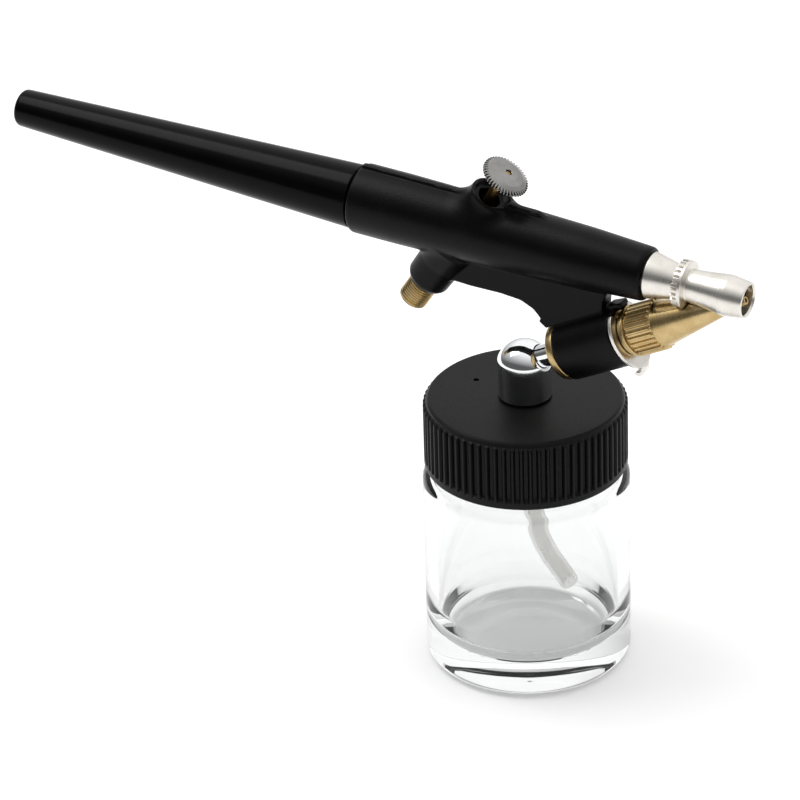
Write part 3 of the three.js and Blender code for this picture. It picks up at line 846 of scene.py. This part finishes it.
def fluid_tip():
    rear, point = HEAD.span("fluid_tip")
    flutes = 26

    def relief(angle, station, around):
        wave = 0.5 + 0.5 * np.cos(flutes * angle)
        zone = np.clip((station - KNURL_REAR + 0.05) / 0.15, 0, 1) * (station < CONE_BASE)
        return np.minimum(around, KNURL_RADIUS - 0.42 * np.clip(2.0 * wave - 0.3, 0, 1) * zone)

    piece = turned("paint_tip", [
        (3.15, rear), (KNURL_RADIUS, rear, 0.12), (KNURL_RADIUS, rear + 0.32, 0.15),
        (3.9, rear + 0.42, 0.05), (3.9, KNURL_REAR, 0.05), (KNURL_RADIUS, KNURL_REAR + 0.12, 0.15),
        (KNURL_RADIUS, CONE_BASE - 0.2, 0.15), (CONE_BASE_RADIUS, CONE_BASE + 0.05, 0.1),
        (CONE_TIP_RADIUS, point, 0.06), (0.35, point, 0.04), (0.55, -1.5), (2.6, -13.5),
        (2.6, -19.9), (3.15, -19.9),
    ], HEAD, BRASS, sides=flutes * 14, relief=relief, longest=0.35)
    finish_piece(piece, HEAD, "tip", "brass", "fluid_tip")


def spring_clip():
    """An open ring that is wider at the bottom, with a finger tab curled forward and back."""
    thickness = 0.6
    front = HEAD.span("spring_clip")[1]
    middle_station = front - thickness / 2
    half_gap = math.radians(34)
    tab_half_width = 1.0
    curl_radius = 0.9
    curl_centre = (SLEEVE_RADIUS + 0.95, middle_station - curl_radius)

    def distance(points):
        down, across, station = HEAD.local(points).T
        radius = np.hypot(down, across)
        angle = np.abs(np.arctan2(across, down))
        low_side = np.clip(1 - angle / math.radians(80), 0, 1)
        outer = SLEEVE_RADIUS + 0.05 + 1.05 * low_side ** 1.5
        wide = np.maximum(3.45 - radius, radius - outer)
        deep = np.abs(station - middle_station) - thickness / 2
        end = (angle - (math.pi - half_gap)) * 4.2
        ring = np.maximum(np.maximum(wide, deep), end)
        across_tab = np.abs(across) - tab_half_width
        down_tab, along_tab = down - curl_centre[0], station - curl_centre[1]
        sweep = np.abs(np.hypot(down_tab, along_tab) - curl_radius) - thickness / 2
        turn = np.arctan2(along_tab, down_tab)
        past = (np.abs(turn - math.radians(15)) - math.radians(75)) * curl_radius
        tab = np.maximum(np.maximum(sweep, across_tab), past)
        return blended(ring, tab, 0.35)

    low, high = grown_box("spring_clip", margin=0.8)
    piece = moulded("clip", distance, low, high, 0.1, NICKEL)
    finish_piece(piece, HEAD, "gun_body", "nickel", "spring_clip")


# ---------------------------------------------------------------- bottle

def adaptor():
    low, top = BOTTLE.span("bottle_adaptor")
    radius = BOTTLE.reach("bottle_adaptor")
    step_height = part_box("jar_cap")[1].z / MM + 0.3
    crown = 4.75
    dome = turned("adaptor_dome", [
        (0, low), (2.8, low, 0.2), (2.8, step_height), (radius, step_height, 0.15),
        (radius, 56, 0.3), *arc(0, top - crown, crown, 17, 90, 14),
    ], BOTTLE, CHROME, sides=160)
    carve(dome, rod_mesh(2.05, low - 1, 46.6), BOTTLE)
    carve(dome, rod_mesh(1, 46, 55), BOTTLE)
    carve(dome, rod_mesh(2.1, -43.3, -34), HEAD)
    carve(dome, rod_mesh(2.6, -40.8, -34), HEAD)
    finish_piece(dome, BOTTLE, "bottle_cap", "chrome", "bottle_adaptor")

    rear, front = HEAD.span("adaptor_stem")
    outer = HEAD.reach("adaptor_stem")
    stem = turned("adaptor_side_stem", [
        (0.9, rear), (outer, rear, 0.1), (outer, front, 0.25), (0.9, front, 0.1),
    ], HEAD, CHROME, sides=96)
    finish_piece(stem, HEAD, "stem", "chrome", "adaptor_stem")


def smooth_path(knots, steps):
    """A Catmull-Rom curve through the knots."""
    padded = np.vstack([2 * knots[0] - knots[1], knots, 2 * knots[-1] - knots[-2]])
    points = []
    for i in range(1, len(padded) - 2):
        before, start, end, after = padded[i - 1:i + 3]
        for t in np.linspace(0, 1, steps, endpoint=False):
            linear = end - before
            square = 2 * before - 5 * start + 4 * end - after
            cube = 3 * start - before - 3 * end + after
            points.append(start + (linear * t + square * t ** 2 + cube * t ** 3) / 2)
    points.append(knots[-1])
    return np.array(points)


def siphon_tube():
    path = smooth_path(np.array([
        (0, 0, 46.2), (0, 0, 40), (0.2, 0.4, 30), (1.8, 2.4, 20), (5.1, 5.6, 11.3),
    ]), 12)
    mesh = swept_mesh(path, reference=(1, 0, 0), sides=32, outer=1.7, inner=1.05)
    piece = place(mesh, "siphon_hose", BOTTLE, MILKY)
    finish_piece(piece, BOTTLE, "bottle_cap", "white_plastic", "siphon_tube")


def jar_cap():
    bottom, top = BOTTLE.span("jar_cap")
    radius = BOTTLE.reach("jar_cap")
    ribs = 72
    depth = 0.7

    def relief(angle, station, around):
        wave = 0.5 - 0.5 * np.cos(ribs * angle)
        lower = np.clip((station - (bottom + 1.35)) / 0.35, 0, 1)
        upper = np.clip(((top - 0.8) - station) / 0.35, 0, 1)
        groove = np.clip(1.9 * wave - 0.3, 0, 1)
        return np.minimum(around, radius - depth * groove * lower * upper)

    cap = turned("screw_cap", [
        (16.35, bottom, 0.1), (radius, bottom, 0.25), (radius, bottom + 1.2), (radius, top - 1.1, 0.3),
        (radius - 0.5, top - 0.75, 0.2), (radius - 0.6, top - 0.35, 0.2), (radius - 0.95, top, 0.15),
        (3.1, top, 0.1), (3.1, top - 1.4), (16, top - 1.4, 0.3), (16, bottom + 1.5, 0.3),
    ], BOTTLE, CAP_BLACK, sides=ribs * 10, relief=relief, longest=0.45)
    vent = middle("jar_cap")
    vent_axis = Axis(Vector((-9.7 * MM, 0.9 * MM, vent.z)), UP)
    carve(cap, rod_mesh(0.5, 0, 20, sides=24), vent_axis)
    finish_piece(cap, BOTTLE, "bottle_cap", "satin_black", "jar_cap")


def glass_jar():
    rim = BOTTLE.span("glass_jar")[1]
    radius = BOTTLE.reach("glass_jar")
    neck, bore, inner = 14.75, 12.6, 15.3
    shoulder = 36.3
    pitch = 3.175

    def relief(angle, station, around):
        start = shoulder + 4.6
        turn = (station - start) / pitch - angle / (2 * np.pi)
        ridge = sum(np.clip(1 - np.abs(turn - lap) * pitch / 1.1, 0, 1) for lap in (0, 1))
        on_neck = np.abs(around - neck) < 0.01
        return np.where(on_neck, around + 1.0 * np.clip(ridge * 1.4, 0, 1), around)

    jar = turned("bottle_glass", [
        (0, 0.0), (15.6, 0.0, 0.6), (radius, 0.9, 1.3), (radius, 34.4, 2.0), (15.6, shoulder, 1.0),
        (neck, shoulder + 0.3, 0.4), (neck, rim - 0.9), (neck - 0.5, rim, 0.4), (bore, rim, 0.4),
        (bore, 36.6, 2.0), (inner, 33.4, 2.0), (inner, 4.4, 9.0), (1, 4.05, 0.5), (0, 4.0),
    ], BOTTLE, GLASS, sides=160, relief=relief, longest=0.7, smooth_degrees=60)
    finish_piece(jar, BOTTLE, "jar", "clear_glass", "glass_jar")


# ---------------------------------------------------------------- pieces kept from the CAD

def keep_cad(material, *nodes):
    for name in nodes:
        mesh = frame["nodes"][name].data
        mesh.materials.clear()
        mesh.materials.append(material)


# ---------------------------------------------------------------- stage

def stage():
    """A pale floor that gives off a little light, and a sky that is brightest above and behind."""
    floor_mesh = bpy.data.meshes.new("floor")
    half = 3.0
    floor_mesh.from_pydata(
        [(-half, -half, 0), (half, -half, 0), (half, half, 0), (-half, half, 0)], [], [(0, 1, 2, 3)]
    )
    nodes = Nodes("floor")
    cloud = nodes.noise(3)
    nodes.link(
        nodes.mix(cloud, (0.93, 0.93, 0.93), (0.95, 0.95, 0.95)), nodes.shader.inputs["Base Color"]
    )
    nodes.set(Roughness=0.6, Emission_Color=(1, 1, 1, 1), Emission_Strength=0.25)
    floor_mesh.materials.append(nodes.material)
    floor = bpy.data.objects.new("floor", floor_mesh)
    gap = 0.02
    floor.location.z = -gap * MM
    bpy.context.scene.collection.objects.link(floor)
    floor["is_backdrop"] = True

    world = bpy.data.worlds.new("studio")
    bpy.context.scene.world = world
    bpy.context.scene.view_settings.view_transform = "Standard"
    world.use_nodes = True
    tree = world.node_tree
    direction = tree.nodes.new("ShaderNodeTexCoord")
    toward_light = tree.nodes.new("ShaderNodeVectorMath")
    toward_light.operation = "DOT_PRODUCT"
    toward_light.inputs[1].default_value = (0, 0.4, 0.8)
    ramp = tree.nodes.new("ShaderNodeValToRGB")
    background = tree.nodes["Background"]
    tree.links.new(direction.outputs["Generated"], toward_light.inputs[0])
    tree.links.new(toward_light.outputs["Value"], ramp.inputs[0])
    tree.links.new(ramp.outputs[0], background.inputs["Color"])
    room = (0.0, 0.1)
    sky_light = (0.7, 1.0)
    for element, (position, grey) in zip(ramp.color_ramp.elements, (room, sky_light)):
        element.position = position
        element.color = (grey, grey, grey, 1)
    background.inputs["Strength"].default_value = 1.05


def softbox(name, spot, aim, width, height, power):
    light = bpy.data.lights.new(name, "AREA")
    light.shape = "RECTANGLE"
    light.size = width
    light.size_y = height
    light.energy = power
    lamp = bpy.data.objects.new(name, light)
    lamp.location = spot
    lamp.rotation_mode = "QUATERNION"
    lamp.rotation_quaternion = (Vector(aim) - Vector(spot)).to_track_quat("-Z", "Y")
    bpy.context.scene.collection.objects.link(lamp)


def camera():
    azimuth, elevation, roll = (math.radians(v) for v in (29.53, 29.62, -1.78))
    distance = 0.8
    focal_ratio = 5.921
    look_height = 0.030
    shift_right, shift_up = 0.0214, -0.01577
    ahead = Vector((
        -math.sin(azimuth) * math.cos(elevation),
        math.cos(azimuth) * math.cos(elevation),
        -math.sin(elevation),
    ))
    level = Vector((math.cos(azimuth), math.sin(azimuth), 0))
    above = level.cross(ahead)
    right = level * math.cos(roll) + above * math.sin(roll)
    up = above * math.cos(roll) - level * math.sin(roll)
    spot = Vector((0, 0, look_height)) - ahead * distance - right * shift_right - up * shift_up
    data = bpy.data.cameras.new("camera")
    data.sensor_width = 36
    data.lens = focal_ratio * 36
    data.clip_start = 0.05
    data.clip_end = 20
    view = bpy.data.objects.new("camera", data)
    view.matrix_world = Matrix.Translation(spot) @ Matrix((right, up, -ahead)).transposed().to_4x4()
    bpy.context.scene.collection.objects.link(view)
    bpy.context.scene.camera = view


camera()
stage()
softbox("key", spot=(-0.55, -0.1, 0.9), aim=(0, 0, 0.05), width=0.6, height=0.6, power=3.5)

body_shell()
handle()
air_inlet()
valve_stem()
valve_spring()
trigger_button()
valve_guide()
nozzle_base()
air_cap()
air_jet()
fluid_tube()
fluid_tip()
spring_clip()
adaptor()
siphon_tube()
jar_cap()
glass_jar()

keep_cad(BRASS, "air_tube", "valve_plunger", "adaptor_nut")
keep_cad(STEEL, "fluid_needle")
keep_cad(RUBBER, "plunger_seal", "stem_seal", "adaptor_washer")
keep_cad(MILKY, "tip_packing", "cap_liner")

boxes = {"cad": CAD_BOX, "visual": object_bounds()}
{name: [list(corner) for corner in box] for name, box in boxes.items()}
